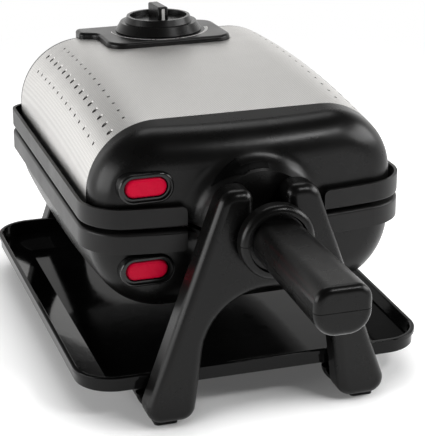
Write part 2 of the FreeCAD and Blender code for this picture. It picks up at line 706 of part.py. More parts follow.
def rim(name, side, ears, ear_spans, hole_fit):
    body = new_body(name, (0, 0, axis))
    wall = d.band_wall
    extrude(body, "Pad", "XY", *local(side, parting, band_top), polygon(
        bowed(d.rim_half, rim_apex, d.rim_back, d.rim_front_round, d.rim_back_round)))
    extrude(body, "Pocket", "XY", *local(side, seat, band_top), polygon(
        bowed(d.rim_half - wall, rim_apex + wall, d.rim_back - wall, d.rim_front_round - wall,
              d.rim_back_round - wall)))
    extrude(body, "Pocket", "XY", *local(side, parting, seat), polygon(rectangle(
        -d.plate_half - d.plate_fit, d.plate_half + d.plate_fit, d.plate_front - d.plate_fit,
        d.plate_back + d.plate_fit, d.plate_round + d.plate_fit)))
    extrude(body, "Pocket", "XY", *local(side, parting, band_top), polygon(rectangle(
        -d.hub_window, d.hub_window, -FAR, d.hub_window_back)))

    def at_window(edge):
        return flat_at(edge, "X", d.hub_window) or flat_at(edge, "X", -d.hub_window)

    def outer_edge(edge):
        box = edge.BoundBox
        beside = max(box.XMax, -box.XMin) > (d.plate_half + d.plate_fit).number + 1
        behind = box.YMax > (d.plate_back + d.plate_fit).number + 1
        ahead = box.YMin < d.hub_window_back.number - 1
        return flat_at(edge, "Z", parting * side) and (beside or behind or ahead) and not at_window(edge)

    soften(body, d.band_end_round, lambda edge: at_window(edge) and flat_at(edge, "Z", band_top * side))
    soften(body, d.band_bevel, outer_edge)
    for low, high in ear_spans:
        for first, last in (ordered(low, high), ordered(-low, -high)):
            extrude(body, "Pad", "YZ", first, last, polygon(ears))
    extrude(body, "Pocket", "YZ", -FAR, FAR, circle(d.hinge_y, d.hinge_rise, d.hinge_radius + hole_fit))
    return keep(body, name)


ear_back, ear_front = d.hinge_y + d.ear_radius, d.hinge_y - d.ear_radius
ear_low, ear_high = d.hinge_rise - d.ear_radius, d.hinge_rise + d.ear_radius
ear_round = d.ear_radius - 0.5
rim_skin = d.rim_back - d.band_wall / 2
upper_ear = [
    (rim_skin, seat), (d.hinge_y, ear_low), (ear_back, ear_low, ear_round), (ear_back, ear_high, ear_round),
    (ear_front + 2, ear_high), (rim_skin, band_top - 1)]
lower_ear = [
    (rim_skin, 1 - band_top), (rim_skin, -seat), (ear_front, parting), (ear_front, ear_high, ear_round),
    (ear_back, ear_high, ear_round), (ear_back, -ear_low), (d.hinge_y - 2, 1 - band_top)]
ear_inner, ear_outer = d.ear_middle - d.ear_half, d.ear_middle + d.ear_half
knuckle_inner, knuckle_outer = ear_inner - d.ear_gap, ear_outer + d.ear_gap
rim("upper_rim", 1, upper_ear, [(ear_inner, ear_outer)], d.hinge_fit)
rim("lower_rim", -1, lower_ear, [(knuckle_inner - d.ear_side, knuckle_inner),
                                 (knuckle_outer, knuckle_outer + d.ear_side)], d.hinge_seat_fit)
pin_start = knuckle_inner - d.ear_side - d.pin_reach
pin_length = knuckle_outer + d.ear_side + d.pin_reach - pin_start
hinge_pins = [rod("hinge_pin", d.hinge_radius, pin_length, (x, d.hinge_y, axis + d.hinge_rise), (1, 0, 0))
              for x in (pin_start, -pin_start - pin_length)]
keep(group("hinge_pins", hinge_pins), "hinge_pins")


# Waffle plates, reflector pans and heaters

def plate(name, side):
    body = new_body(name, (0, 0, axis))
    extrude(body, "Pad", "XY", *local(side, plate_face, plate_rear), polygon(rectangle(
        -d.plate_half, d.plate_half, d.plate_front, d.plate_back, d.plate_round)))
    depth = plate_face + d.cavity_depth
    for hand in (-1, 1):
        left, right = ordered(d.cavity_inner * hand, (d.plate_half - d.cavity_margin + d.cavity_inner) * hand)
        extrude(body, "Pocket", "XY", *local(side, plate_face, depth), polygon(rectangle(
            left, right, d.plate_front + d.cavity_margin, d.plate_back - d.cavity_margin, d.cavity_round)))
        stud_x = d.stud_first_x if hand > 0 else -d.stud_first_x - d.stud_pitch * 3
        square = centred(stud_x, d.stud_first_y, d.stud_size, d.stud_size, d.stud_size / 8)
        stud = extrude(body, "Pad", "XY", *local(side, depth - d.stud_height, depth), polygon(square))
        if side > 0:
            flip(stud, depth)
        stud.TaperAngle = -d.stud_draft.number
        stud.setExpression("TaperAngle", f"{(-d.stud_draft).formula} * 1 deg")
        pattern(body, stud, (4, 9), d.stud_pitch)
    left, right = d.button_x - d.lug_half, d.button_x + d.lug_half
    lug_top = plate_rear + d.lug_rise
    extrude(body, "Pad", "XY", *local(side, plate_rear, lug_top), polygon(
        rectangle(left, right, d.lug_front, lug_back)))
    notch_low, notch_high = d.latch_rise - 0.5, d.latch_rise + d.latch_thick + 0.5
    extrude(body, "Pocket", "XY", *local(side, notch_low, notch_high), polygon(
        rectangle(left, right, lug_back - d.lug_notch, lug_back)))
    for hand in (-1, 1):
        left, right = ordered(d.tongue_inner * hand, d.tongue_outer * hand)
        extrude(body, "Pad", "XY", *local(side, d.tongue_low, d.tongue_high), polygon(
            rectangle(left, right, d.plate_back - 1, d.plate_back + d.tongue_reach)))
    return keep(body, name)


def flip(stud, base):
    """Starts a stud of the upper plate at the bottom of its cavity, growing downwards."""
    bind(stud.Profile[0], "AttachmentOffset.Base.z", base)
    stud.Reversed = True


heater_rise = plate_rear + d.heater_gap + d.heater_radius


def pan(name, side):
    """A stepped cover of thin sheet behind a plate, with a flange that lies on the rim."""
    body = new_body(name, (0, 0, axis))
    half = d.plate_half + d.plate_fit
    front, back = d.plate_front - d.plate_fit, d.plate_back + d.plate_fit
    skin = d.pan_sheet
    lower_round = d.plate_round + d.plate_fit
    extrude(body, "Pad", "XY", *local(side, seat, seat + skin), polygon(rectangle(
        -d.pan_flange_half, d.pan_flange_half, d.pan_flange_front, d.pan_flange_back, d.pan_flange_round)))
    extrude(body, "Pad", "XY", *local(side, seat, d.pan_step + skin), polygon(
        rectangle(-half - skin, half + skin, front - skin, back + skin, lower_round + skin)))
    top_half, top_round = d.pan_top_half + skin, d.pan_top_round + skin
    extrude(body, "Pad", "XY", *local(side, d.pan_step, d.pan_roof + skin), polygon(
        rectangle(-top_half, top_half, front - skin, back + skin, top_round)))
    extrude(body, "Pocket", "XY", *local(side, seat, d.pan_step), polygon(
        rectangle(-half, half, front, back, lower_round)))
    extrude(body, "Pocket", "XY", *local(side, d.pan_step, d.pan_roof), polygon(
        rectangle(-d.pan_top_half, d.pan_top_half, front, back, d.pan_top_round)))
    slot_low, slot_high = d.latch_rise - d.latch_slot, d.latch_rise + d.latch_thick + d.latch_slot
    extrude(body, "Pocket", "XY", *local(side, slot_low, slot_high), polygon(rectangle(
        d.button_x - d.latch_half - 1, d.button_x + d.latch_half + 1, -FAR, d.latch_slot_back)))
    for hand in (-1, 1):
        left, right = ordered((d.tongue_inner - 1) * hand, (d.tongue_outer + 1) * hand)
        extrude(body, "Pocket", "XY", *local(side, seat + skin, d.tongue_high + 1), polygon(
            rectangle(left, right, back - 1, back + skin + 1)))
        extrude(body, "Pocket", "XZ", back - 1, back + skin + 1, circle(
            d.heater_exit * hand, heater_rise * side, d.heater_radius + d.heater_hole_fit))
    return keep(body, name)


def heater(name, side):
    body = new_body(name, (0, 0, axis))
    bend = d.heater_bend
    right = [(d.heater_exit, d.heater_end), (d.heater_exit, d.heater_turn, bend),
             (d.heater_half, d.heater_turn, bend), (d.heater_half, d.heater_front, bend)]
    path = draw(new_sketch(body, "XY", heater_rise * side), mirrored(right), closed=False)
    section = new_sketch(body, "XZ", d.heater_end)
    draw_circle(section, d.heater_exit, heater_rise * side, d.heater_radius)
    pipe = body.newObject("PartDesign::AdditivePipe", f"{name}_pipe")
    pipe.Profile = section
    pipe.Spine = (path, [])
    return keep(body, name)


def heater_clips(name, side):
    low, high = local(side, heater_rise + d.heater_radius + d.clip_gap, d.pan_roof)
    clips = []
    for hand in (-1, 1):
        for y in (d.clip_front, d.clip_back):
            x = d.heater_half * hand
            clips.append(block("clip", (x - d.clip_half, y, axis + low),
                               (x + d.clip_half, y + d.clip_depth, axis + high)))
    return keep(group(name, clips), name)


# Handle halves

def handle(name, side):
    body = new_body(name, (0, 0, axis))
    root = d.hub_front + d.shell_wall
    flange_back = stand_front - d.flange_gap
    flange_front = flange_back - d.flange_thick
    end = flange_front - d.grip_length
    dish = flange_front + d.dish_depth
    turned(body, "Revolution", "YZ", [
        (dish, 0), (root + d.root_thick, 0), (root + d.root_thick, d.root_radius), (root, d.root_radius),
        (root, d.journal_radius), (flange_back, d.journal_radius),
        (flange_back, d.flange_radius, d.flange_round / 3), (flange_front, d.flange_radius, d.flange_round),
        (flange_front, d.flange_dish), (dish, d.flange_dish - 1)])

    def section(width, height, inset):
        half_width, half_height = width / 2 - inset, height / 2 - inset
        low = [(x, -half_height, d.grip_under_round - inset) for x in (-half_width, half_width)]
        return low + [(x, half_height, d.grip_round - inset) for x in (half_width, -half_width)]

    loft(body, "AdditiveLoft", "XZ", [
        (dish + 1, section(d.grip_root_width, d.grip_root_height, size(0))),
        (end, section(d.grip_width, d.grip_height, size(0)))])
    soften(body, d.grip_end_round, lambda edge: flat_at(edge, "Y", end))
    loft(body, "SubtractiveLoft", "XZ", [
        (flange_front - d.grip_wall, section(d.grip_root_width, d.grip_root_height, d.grip_wall)),
        (end + d.grip_end_round, section(d.grip_width, d.grip_height, d.grip_wall))])
    extrude(body, "Pocket", "XY", *local(side, -FAR, d.handle_split / 2),
            polygon(rectangle(-FAR, FAR, -2 * FAR, FAR)))
    return keep(body, name)


# Release buttons, their bezels and latches

def release(half, side):
    rise = d.button_rise * side
    bezel = new_body(f"{half}_button_bezel", (0, 0, axis))
    extrude(bezel, "Pad", "XZ", d.bezel_front, d.bezel_back, polygon(
        stadium(d.button_x, rise, d.bezel_width, d.bezel_height)))
    soften(bezel, d.bezel_edge, lambda edge: flat_at(edge, "Y", d.bezel_front))
    inner_width, inner_height = d.button_width + d.button_fit * 2, d.button_height + d.button_fit * 2
    extrude(bezel, "Pocket", "XZ", d.bezel_front, d.bezel_back, polygon(
        stadium(d.button_x, rise, inner_width, inner_height)))
    extrude(bezel, "Pocket", "XZ", d.bezel_front, d.bezel_front + d.bezel_dish_depth, polygon(
        stadium(d.button_x, rise, inner_width + d.bezel_dish * 2, inner_height + d.bezel_dish * 2)))
    keep(bezel, f"{half}_button_bezel")

    button = new_body(f"{half}_button", (0, 0, axis))
    extrude(button, "Pad", "XZ", d.button_front, d.button_back, polygon(
        stadium(d.button_x, rise, d.button_width, d.button_height)))
    soften(button, d.button_edge, lambda edge: flat_at(edge, "Y", d.button_front))
    keep(button, f"{half}_button")

    latch = new_body(f"{half}_latch", (0, 0, axis))
    span = local(side, d.latch_rise, d.latch_rise + d.latch_thick)
    extrude(latch, "Pad", "XY", *span, polygon(rectangle(
        d.button_x - d.latch_half, d.button_x + d.latch_half, d.button_back, d.latch_end)))
    extrude(latch, "Pocket", "XY", *span, polygon(rectangle(
        d.button_x - d.window_half, d.button_x + d.window_half, d.window_front,
        lug_back - d.lug_notch + d.latch_grip)))
    keep(latch, f"{half}_latch")

    spring = new_body(f"{half}_button_spring", (d.button_x, 0, axis + d.spring_rise * side))
    turned(spring, "Revolution", "YZ", rectangle(
        d.spring_front, d.plate_front - d.plate_fit - d.pan_sheet, d.spring_bore, d.spring_radius))
    keep(spring, f"{half}_button_spring")


for half, side in (("upper", 1), ("lower", -1)):
    plate(f"{half}_plate", side)
    pan(f"{half}_pan", side)
    heater(f"{half}_heater", side)
    heater_clips(f"{half}_heater_clips", side)
    handle(f"{half}_handle", side)
    release(half, side)


# Rear carrier with the trunnion

carrier = new_body("rear_carrier", (0, 0, axis))
head = d.carrier_head
extrude(carrier, "Pad", "XZ", d.carrier_front, d.carrier_back, polygon(mirrored([
    (d.carrier_half, -d.carrier_low, d.carrier_round), (d.carrier_half, -d.carrier_shoulder, d.carrier_round),
    (head, 0), (head, head, head * 0.95)])))
extrude(carrier, "Pad", "XZ", shell_back, d.carrier_front, polygon(rectangle(
    -d.carrier_half, d.carrier_half, -d.carrier_low, -d.carrier_block, d.carrier_round)))
extrude(carrier, "Pocket", "XZ", d.carrier_front - 1, d.carrier_back + 1,
        circle(0, 0, d.tube_radius + d.tube_fit))
screw_holes(carrier, shell_back - 1, d.carrier_back + 1, size(0))
keep(carrier, "rear_carrier")

tube = new_body("trunnion_tube", (0, 0, axis))
turned(tube, "Revolution", "YZ", rectangle(
    d.carrier_front, stand_back - d.tube_end_gap, d.tube_bore, d.tube_radius))
keep(tube, "trunnion_tube")

screws = []
for x, z in SCREW_SPOTS:
    screw = new_body("carrier_screw", (x, 0, axis + z))
    tip, top = d.carrier_back - d.screw_length, d.carrier_back + d.screw_head_thick
    turned(screw, "Revolution", "YZ", [
        (tip, 0), (top, 0), (top, d.screw_head, d.screw_head_thick / 3), (d.carrier_back, d.screw_head),
        (d.carrier_back, d.screw_radius), (tip, d.screw_radius)])
    screws.append(screw)
keep(group("carrier_screws", screws), "carrier_screws")


# Control panel, dial and thermostat, in a frame that leans back with the dial

def leaning(name):
    body = new_body(name, (0, d.dial_y, d.panel_top), Rotation(Vector(-1, 0, 0), d.dial_tilt.number))
    body.setExpression("Placement.Rotation.Angle", f"{d.dial_tilt.formula} * 1 deg")
    return body


panel = leaning("panel_block")
extrude(panel, "Pad", "XY", -d.panel_depth, 0, polygon([
    (-d.panel_half, -d.panel_front_reach, d.panel_round), (d.panel_half, -d.panel_front_reach, d.panel_round),
    (d.panel_half, d.panel_back_reach, d.panel_round), (-d.wing_half, d.panel_back_reach, d.wing_round),
    (-d.wing_half, d.wing_start + d.wing_flare, d.wing_round), (-d.panel_half, d.wing_start, d.wing_notch)]))
soften(panel, d.panel_edge, lambda edge: flat_at(edge, "Z", 0))
extrude(panel, "Pocket", "XY", -d.panel_depth, 0, circle(0, 0, d.collar_radius + d.collar_fit))
keep(boolean("Cut", "control_panel", panel, panel_core), "control_panel")

knob = leaning("dial_knob")
bore = d.spindle_radius + d.spindle_fit
skirt_top = d.knob_gap + d.skirt_height
dish_edge = d.ring_high - d.ring_wall
turned(knob, "Revolution", "XZ", [
    (bore, d.knob_gap), (d.boss_radius, d.knob_gap), (d.boss_radius, d.knob_under),
    (d.skirt_high - 2, d.knob_under), (d.skirt_high, d.knob_gap), (d.skirt_low, d.knob_gap),
    (d.skirt_high, skirt_top), (d.ring_low, skirt_top), (d.ring_high, d.ring_top),
    (dish_edge, d.ring_top), (dish_edge - 0.6, d.dish_floor), (bore, d.dish_floor)])


def turned_bar(sketch):
    turn = Rotation(Vector(0, 0, 1), d.bar_angle.number)
    sketch.AttachmentOffset = Placement(sketch.AttachmentOffset.Base, turn)
    sketch.setExpression("AttachmentOffset.Rotation.Angle", f"{d.bar_angle.formula} * 1 deg")
    return draw(sketch, rectangle(-d.bar_half, d.bar_half, -d.bar_reach, d.bar_reach, d.bar_half / 3))


extrude(knob, "Pad", "XY", d.dish_floor - 0.1, d.bar_top, turned_bar)
soften(knob, d.bar_edge, lambda edge: flat_at(edge, "Z", d.bar_top))
keep(knob, "dial_knob")

spindle = leaning("dial_spindle")
turned(spindle, "Revolution", "XZ", rectangle(0, d.spindle_radius, -d.spindle_low, d.spindle_top))
keep(spindle, "dial_spindle")

thermostat = leaning("thermostat")
turned(thermostat, "Revolution", "XZ", [
    (0, -d.thermostat_low), (d.thermostat_radius, -d.thermostat_low),
    (d.thermostat_radius, -d.thermostat_top), (d.collar_radius, -d.thermostat_top),
    (d.collar_radius, -d.collar_top), (bore, -d.collar_top), (bore, -d.thermostat_bore),
    (0, -d.thermostat_bore)])
keep(thermostat, "thermostat")

post = leaning("bracket_post")
extrude(post, "Pad", "XY", -d.bracket_drop, -d.thermostat_low, polygon(rectangle(
    -d.bracket_half, d.bracket_half, -d.bracket_reach, d.bracket_reach)))
pan_block = block("pan_block", (-FAR, -FAR, 0), (FAR, 2 * FAR, axis + d.pan_roof + d.pan_sheet))
keep(boolean("Cut", "thermostat_bracket", post, pan_block), "thermostat_bracket")

doc.recompute()
for item in doc.Objects:
    if "Invalid" in item.State or "Error" in item.State:
        raise ValueError(f"{item.Label} did not build")
os.makedirs("parts", exist_ok=True)
for item in nodes:
    if item.Shape.isNull() or not item.Shape.isValid():
        raise ValueError(f"{item.Label} has no valid shape")
    item.Shape.exportStep(f"parts/{item.Label}.step")
print(len(nodes), "nodes")
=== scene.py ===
import json
import math

import bmesh
import bpy
from mathutils import Matrix, Vector
from mathutils.bvhtree import BVHTree


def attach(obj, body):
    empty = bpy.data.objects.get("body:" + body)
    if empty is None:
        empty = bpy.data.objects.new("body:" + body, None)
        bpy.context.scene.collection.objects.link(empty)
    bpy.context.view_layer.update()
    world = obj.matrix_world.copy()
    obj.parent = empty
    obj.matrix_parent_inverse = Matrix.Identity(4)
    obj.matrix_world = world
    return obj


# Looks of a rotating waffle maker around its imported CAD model. Metres, +Z up, the handle towards -Y.

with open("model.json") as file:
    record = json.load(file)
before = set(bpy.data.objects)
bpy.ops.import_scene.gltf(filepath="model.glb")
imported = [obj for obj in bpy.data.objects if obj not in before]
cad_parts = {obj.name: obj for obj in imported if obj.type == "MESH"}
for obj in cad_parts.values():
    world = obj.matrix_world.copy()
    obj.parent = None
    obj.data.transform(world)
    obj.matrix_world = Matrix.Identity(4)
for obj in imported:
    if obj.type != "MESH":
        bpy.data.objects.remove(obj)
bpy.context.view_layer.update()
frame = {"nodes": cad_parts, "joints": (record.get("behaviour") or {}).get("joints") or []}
nodes = frame["nodes"]
joints = {joint["name"]: joint for joint in frame["joints"]}
scene = bpy.context.scene
MM = 0.001
UP = Vector((0.0, 0.0, 1.0))
BACK = Vector((0.0, 1.0, 0.0))


# Materials

MIX_FIRST, MIX_SECOND, MIX_RESULT = 6, 7, 2  # colour sockets of a Mix node
WEAR_RADIUS = 0.8 * MM
# Colour of the painted shade in narrow openings and inside corners
PAINTED_SHADE_COLOR = (0.01, 0.01, 0.01)


class Shading:
    """Adds nodes to one node tree."""

    def __init__(self, tree):
        self.tree = tree

    def feed(self, socket, value):
        if isinstance(value, bpy.types.NodeSocket):
            self.tree.links.new(value, socket)
        else:
            socket.default_value = value

    def node(self, kind, **inputs):
        item = self.tree.nodes.new(f"ShaderNode{kind}")
        for socket, value in inputs.items():
            self.feed(item.inputs[socket.replace("_", " ")], value)
        return item

    def combine(self, kind, operation, *inputs):
        """The value of a Math or VectorMath node."""
        item = self.node(kind)
        item.operation = operation
        for socket, value in zip(item.inputs, inputs):
            self.feed(socket, value)
        return item.outputs["Value"]

    def blend(self, kind, *inputs):
        """The result of a node that adds or mixes shaders."""
        item = self.node(kind)
        for socket, value in zip(item.inputs, inputs):
            self.feed(socket, value)
        return item.outputs["Shader"]

    def mix(self, factor, first, second):
        """A colour between the socket first and the colour second."""
        item = self.node("Mix", Factor=factor)
        item.data_type = "RGBA"
        self.feed(item.inputs[MIX_FIRST], first)
        self.feed(item.inputs[MIX_SECOND], (*second, 1.0))
        return item.outputs[MIX_RESULT]

    def ramp(self, source, first, last, start, end):
        """A colour that goes from first to last as the source goes from start to end."""
        item = self.node("ValToRGB", Fac=source)
        for element, position, color in zip(item.color_ramp.elements, (start, end), (first, last)):
            element.position = position
            element.color = (*color, 1.0)
        return item.outputs["Color"]

    def spread(self, source, low, high, start=0.3, end=0.7, curve="LINEAR"):
        """A value that goes from low to high as the source goes from start to end."""
        item = self.node("MapRange", Value=source, From_Min=start, From_Max=end, To_Min=low, To_Max=high)
        item.interpolation_type = curve
        return item.outputs["Result"]


class Maker(Shading):
    """Builds one Principled material from procedural nodes."""

    def __init__(self, name, color, roughness, **settings):
        self.material = bpy.data.materials.new(name)
        self.material.use_nodes = True
        super().__init__(self.material.node_tree)
        self.shader = self.tree.nodes["Principled BSDF"]
        self.feed(self.shader.inputs["Base Color"], (*color, 1.0))
        self.feed(self.shader.inputs["Roughness"], roughness)
        for socket, value in settings.items():
            self.feed(self.shader.inputs[socket.replace("_", " ")], value)
        self.place = self.node("TexCoord").outputs["Object"]
        self.color = None
        self.height = None

    def noise(self, scale, detail, rough=0.55):
        return self.node("TexNoise", Vector=self.place, Scale=scale, Detail=detail, Roughness=rough).outputs["Fac"]

    def paint(self, color):
        self.color = color
        self.feed(self.shader.inputs["Base Color"], color)

    def tint(self, source, dark, light, start=0.3, end=0.7):
        self.paint(self.ramp(source, dark, light, start, end))

    def wear(self, color):
        """Rubs the colour lighter along sharp edges, broken up by noise."""
        soft = self.node("Bevel", Radius=WEAR_RADIUS).outputs["Normal"]
        plain = self.node("NewGeometry").outputs["Normal"]
        edge = self.spread(self.combine("VectorMath", "DOT_PRODUCT", soft, plain), 1.0, 0.0, start=0.86, end=0.99)
        patches = self.spread(self.noise(scale=120.0, detail=4.0), 0.15, 0.9)
        self.paint(self.mix(self.combine("Math", "MULTIPLY", edge, patches), self.color, color))

    def paint_shade(self, reach):
        """Paints shade into the colour: darkens narrow openings and inside corners where shade falls."""
        shade = self.node("AmbientOcclusion", Distance=reach).outputs["AO"]
        self.paint(self.mix(self.spread(shade, 1.0, 0.0, start=0.45, end=0.8), self.color, PAINTED_SHADE_COLOR))

    def rough(self, source, low, high):
        self.feed(self.shader.inputs["Roughness"], self.spread(source, low, high))

    def bump(self, source, distance, strength=1.0):
        item = self.node("Bump", Height=source, Distance=distance, Strength=strength)
        if self.height is not None:
            self.feed(item.inputs["Normal"], self.height)
        self.height = item.outputs["Normal"]
        self.feed(self.shader.inputs["Normal"], self.height)


def shifted(color, factor, lift=0.0):
    return tuple(value * factor + lift for value in color)


def moulded(name, color, roughness, grain, depth):
    """Moulded plastic with a spark-eroded grain, faint flow marks and handling wear."""
    m = Maker(name, color, roughness, Specular_IOR_Level=0.22)
    m.tint(m.noise(scale=14.0, detail=4.0), color, shifted(color, 1.2, lift=0.001))
    m.wear(shifted(color, 2.2, lift=0.004))
    m.rough(m.noise(scale=45.0, detail=5.0), roughness - 0.03, roughness + 0.04)
    m.bump(m.noise(scale=grain, detail=2.0, rough=0.6), depth)
    return m.material


def glossy(name, color, roughness, specular):
    """Polished plastic with fine dust and hairline marks in its gloss."""
    m = Maker(name, color, roughness, Specular_IOR_Level=specular)
    m.tint(m.noise(scale=20.0, detail=4.0), color, shifted(color, 1.25, lift=0.001))
    m.rough(m.noise(scale=160.0, detail=6.0, rough=0.7), roughness * 0.7, roughness * 1.6)
    m.bump(m.noise(scale=30.0, detail=2.0), 0.06 * MM)
    return m.material


def linen_steel(name):
    """Steel sheet rolled with a fine linen pattern, two crossed waves on the slant."""
    m = Maker(name, (0.8, 0.79, 0.77), 0.42, Metallic=1.0)
    slant = m.node("Mapping", Vector=m.place, Rotation=(0.0, 0.0, math.radians(45.0))).outputs["Vector"]
    waves = []
    for direction in ("X", "Y"):
        wave = m.node("TexWave", Vector=slant, Scale=200.0, Distortion=0.0)
        wave.bands_direction = direction
        waves.append(wave.outputs["Fac"])
    weave = m.combine("Math", "MULTIPLY", *waves)
    m.tint(weave, (0.62, 0.61, 0.595), (0.91, 0.90, 0.88), start=0.1, end=0.9)
    m.rough(m.noise(scale=60.0, detail=5.0), 0.40, 0.46)
    m.bump(weave, 0.12 * MM, strength=0.7)
    # Painted shade: the slots and the edges by the caps and the panel are darkened in the colour.
    m.paint_shade(reach=4.0 * MM)
    return m.material


def bare_metal(name, color, roughness, stretch):
    """Bright metal with drawn grain along one axis."""
    m = Maker(name, color, roughness, Metallic=1.0)
    drawn = m.node("Mapping", Vector=m.place, Scale=stretch).outputs["Vector"]
    grain = m.node("TexNoise", Vector=drawn, Scale=90.0, Detail=5.0).outputs["Fac"]
    m.tint(grain, shifted(color, 0.8), color)
    m.rough(grain, roughness - 0.06, roughness + 0.08)
    m.bump(grain, 0.04 * MM, strength=0.5)
    return m.material


def coated_cast(name):
    """Cast aluminium under a dark non-stick coat with a speckle."""
    m = Maker(name, (0.03, 0.03, 0.031), 0.36, Specular_IOR_Level=0.55)
    speckle = m.noise(scale=900.0, detail=2.0, rough=0.5)
    m.tint(speckle, (0.022, 0.022, 0.023), (0.075, 0.073, 0.07), start=0.55, end=0.75)
    m.rough(m.noise(scale=70.0, detail=4.0), 0.3, 0.44)
    m.bump(m.noise(scale=1300.0, detail=2.0), 0.05 * MM, strength=0.6)
    return m.material


BLACK = (0.0032, 0.0031, 0.003)
HOUSING = moulded("satin_black", BLACK, 0.28, grain=2600.0, depth=0.01 * MM)
STAND = moulded("stand_black", BLACK, 0.28, grain=2200.0, depth=0.01 * MM)
BANDS = moulded("band_black", (0.008, 0.0077, 0.0077), 0.34, grain=2200.0, depth=0.02 * MM)
PANEL = moulded("panel_black", (0.006, 0.0058, 0.0058), 0.30, grain=2600.0, depth=0.01 * MM)
KNOB = moulded("knob_black", (0.0055, 0.0053, 0.0051), 0.27, grain=2600.0, depth=0.01 * MM)
TRAY = glossy("tray_gloss", (0.0025, 0.0025, 0.0025), 0.07, specular=0.16)
BEZEL = glossy("bezel_gloss", (0.005, 0.005, 0.005), 0.16, specular=0.4)
RED = glossy("button_red", (0.74, 0.0022, 0.04), 0.26, specular=0.12)
RUBBER = moulded("rubber_black", (0.005, 0.005, 0.005), 0.62, grain=900.0, depth=0.06 * MM)
STEEL = linen_steel("linen_steel")
PLATES = coated_cast("coated_cast")
REFLECTOR = bare_metal("reflector_sheet", (0.75, 0.75, 0.74), 0.3, stretch=(1.0, 12.0, 1.0))
SHEATH = bare_metal("heater_sheath", (0.30, 0.27, 0.24), 0.42, stretch=(4.0, 4.0, 4.0))
FITTINGS = bare_metal("bright_steel", (0.62, 0.61, 0.60), 0.28, stretch=(1.0, 6.0, 1.0))
BUSH = moulded("bush_pale", (0.62, 0.60, 0.55), 0.45, grain=1500.0, depth=0.03 * MM)
CERAMIC = moulded("thermostat_body", (0.22, 0.2, 0.17), 0.55, grain=800.0, depth=0.05 * MM)
ARROW = glossy("arrow_black", (0.0015, 0.0015, 0.0015), 0.3, specular=0.05)
PRINT = moulded("pale_print", (0.52, 0.51, 0.50), 0.4, grain=1200.0, depth=0.01 * MM)

LOOKS = {
    HOUSING: ["upper_front_cap", "upper_rear_cap", "lower_housing", "upper_handle", "lower_handle"],
    STAND: ["front_stand", "rear_stand", "base_rail_left", "base_rail_right", "rear_carrier"],
    BANDS: ["upper_rim", "lower_rim"],
    PANEL: ["control_panel"],
    KNOB: ["dial_knob"],
    TRAY: ["drip_tray"],
    BEZEL: ["upper_button_bezel", "lower_button_bezel"],
    RED: ["upper_button", "lower_button"],
    RUBBER: ["foot_pads", "cord_gland"],
    STEEL: ["steel_cover"],
    PLATES: ["upper_plate", "lower_plate"],
    REFLECTOR: ["upper_pan", "lower_pan"],
    SHEATH: ["upper_heater", "lower_heater"],
    FITTINGS: ["upper_heater_clips", "lower_heater_clips", "upper_latch", "lower_latch", "upper_button_spring",
               "lower_button_spring", "hinge_pins", "carrier_screws", "thermostat_bracket", "dial_spindle",
               "trunnion_tube"],
    BUSH: ["rear_bush"],
    CERAMIC: ["thermostat"],
}
for material, names in LOOKS.items():
    for name in names:
        mesh = nodes[name].data
        mesh.materials.clear()
        mesh.materials.append(material)


# Printed and raised marks, each a thin closed mesh on its CAD piece. Sizes in mm, turns in degrees.

DIAL = joints["dial_turn"]
DIAL_TILT = UP.rotation_difference(Vector(DIAL["axis"])).to_matrix().to_4x4()
DIAL_FRAME = Matrix.Translation(DIAL["pos_m"]) @ DIAL_TILT @ Matrix.Scale(MM, 4)

SCALE_RADIUS = 39.0
SCALE_BOTTOM, SCALE_TOP = -0.2, 0.1
SCALE_STEP = 2.0
# Arcs and ticks round the knob: start and end as turns from the front, then the width at each end
SCALE_PARTS = (
    (-96.0, -25.0, 0.5, 0.7),
    (-23.5, -20.5, 1.3, 1.3),
    (-18.5, 4.0, 0.8, 0.8),
    (5.5, 8.5, 1.4, 1.4),
    (10.5, 36.0, 0.8, 1.0),
    (36.0, 84.0, 1.0, 3.0),
)

POINTER_TURN = 3.0
POINTER_HALF = 1.2
POINTER_FRONT, POINTER_BACK = -13.1, -12.7
POINTER_BOTTOM, POINTER_TOP = 8.6, 18.8

AXIS_HEIGHT = joints["body_flip"]["pos_m"][2] / MM
ARROW_TAIL, ARROW_NECK, ARROW_TIP = 9.0, -17.0, -49.0
SHAFT_RADIUS, SHAFT_WIDTH = 43.0, 2.6
HEAD_RADIUS, HEAD_WIDTH = 45.0, 8.4
ARROW_STEPS = 4
ARROW_CUTS = 3
ARROW_SUNK, ARROW_THICK = 0.5, 1.3
ARROW_START = -200.0  # in front of the cap, where the outline starts its way back onto it


def between(first, last, share):
    return first + (last - first) * share


def ribbon(sections):
    """Vertices and faces of a closed strip through four-cornered sections."""
    vertices = [corner for section in sections for corner in section]
    last = len(vertices) - 4
    faces = [(3, 2, 1, 0), (last, last + 1, last + 2, last + 3)]
    for first in range(0, last, 4):
        for side in range(4):
            following = first + (side + 1) % 4
            faces.append((first + side, following, following + 4, first + side + 4))
    return vertices, faces


def scale_arc(start, end, first_width, last_width):
    """One arc or tick of the ring round the knob."""
    sections = []
    steps = max(2, round((end - start) / SCALE_STEP))
    for step in range(steps + 1):
        turn = math.radians(between(start, end, step / steps))
        half = between(first_width, last_width, step / steps) / 2
        inner, outer = SCALE_RADIUS - half, SCALE_RADIUS + half
        corners = ((inner, SCALE_BOTTOM), (outer, SCALE_BOTTOM), (outer, SCALE_TOP), (inner, SCALE_TOP))
        sections.append([DIAL_FRAME @ Vector((radius * math.sin(turn), -radius * math.cos(turn), level))
                         for radius, level in corners])
    return ribbon(sections)


def dial_scale():
    vertices = []
    faces = []
    for part in SCALE_PARTS:
        corners, sides = scale_arc(*part)
        faces += [tuple(index + len(vertices) for index in side) for side in sides]
        vertices += corners
    mesh = bpy.data.meshes.new("dial_scale")
    mesh.from_pydata(vertices, [], faces)
    return mesh


